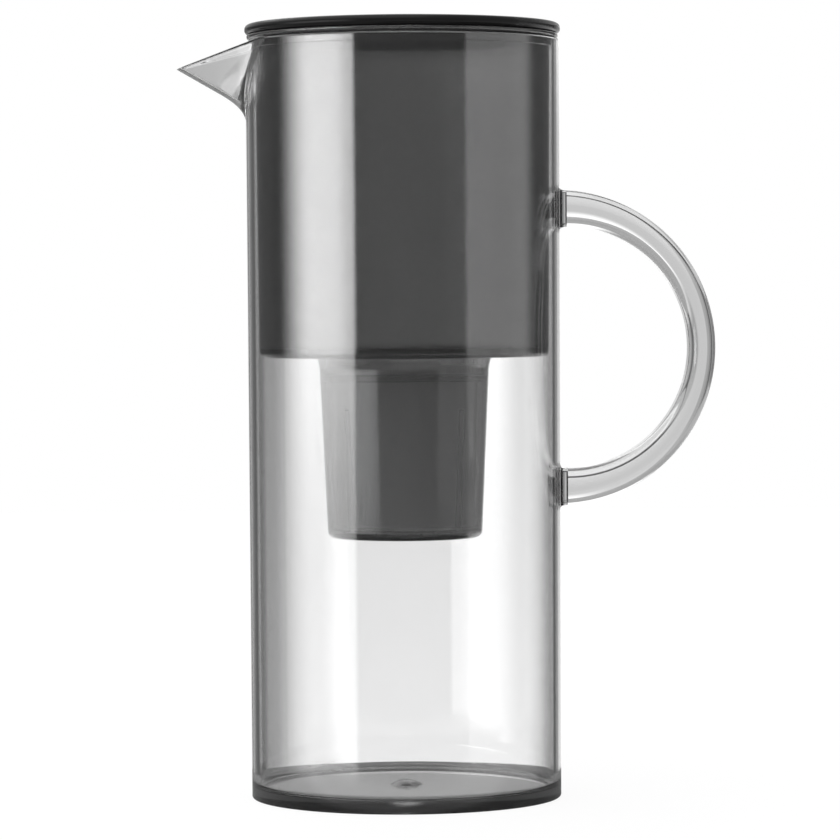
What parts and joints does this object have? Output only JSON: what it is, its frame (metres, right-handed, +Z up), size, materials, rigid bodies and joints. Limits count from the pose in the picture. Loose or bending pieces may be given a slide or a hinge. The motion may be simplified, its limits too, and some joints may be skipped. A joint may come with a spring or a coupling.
{
  "type": "water filter pitcher",
  "caption": "Tall round clear jug with a pouring beak and loop handle, a dark hopper hung in its rim, a drop-in filter cartridge in a cup below it and a flat lid.",
  "frame": {"origin": "centre of the jug's underside, on the jug's axis", "axes": "+Z up, +X toward the handle, -X toward the spout"},
  "size_m": [0.1955, 0.1148, 0.2814],
  "materials": {
    "clear_smoke": "clear moulded plastic with a light smoke tint",
    "dark_smoke": "see-through moulded plastic with a dark smoke tint",
    "black_plastic": "black moulded plastic, satin",
    "seal_rubber": "soft grey rubber",
    "cartridge_plastic": "white moulded plastic",
    "screen_fleece": "white non-woven fleece",
    "carbon_granules": "packed black carbon granules",
    "resin_beads": "packed amber ion-exchange beads"
  },
  "bodies": {
    "jug": {"jug_body": "clear_smoke", "handle": "clear_smoke"},
    "hopper": {"hopper": "dark_smoke", "filter_cup": "dark_smoke"},
    "lid": {"lid_cover": "black_plastic", "lid_seal": "seal_rubber"},
    "cartridge": {"cartridge_shell": "cartridge_plastic", "cartridge_cap": "cartridge_plastic", "cartridge_seal": "seal_rubber", "inlet_screen": "screen_fleece", "outlet_screen": "screen_fleece", "carbon_bed": "carbon_granules", "resin_bed": "resin_beads"}
  },
  "joints": [
    {"name": "hopper_lift", "type": "slide", "parent": "jug", "child": "hopper", "axis": [0, 0, 1], "range_m": [0, 0.19]},
    {"name": "lid_lift", "type": "slide", "parent": "hopper", "child": "lid", "axis": [0, 0, 1], "range_m": [0, 0.06]},
    {"name": "cartridge_lift", "type": "slide", "parent": "hopper", "child": "cartridge", "axis": [0, 0, 1], "range_m": [0, 0.075]}
  ]
}
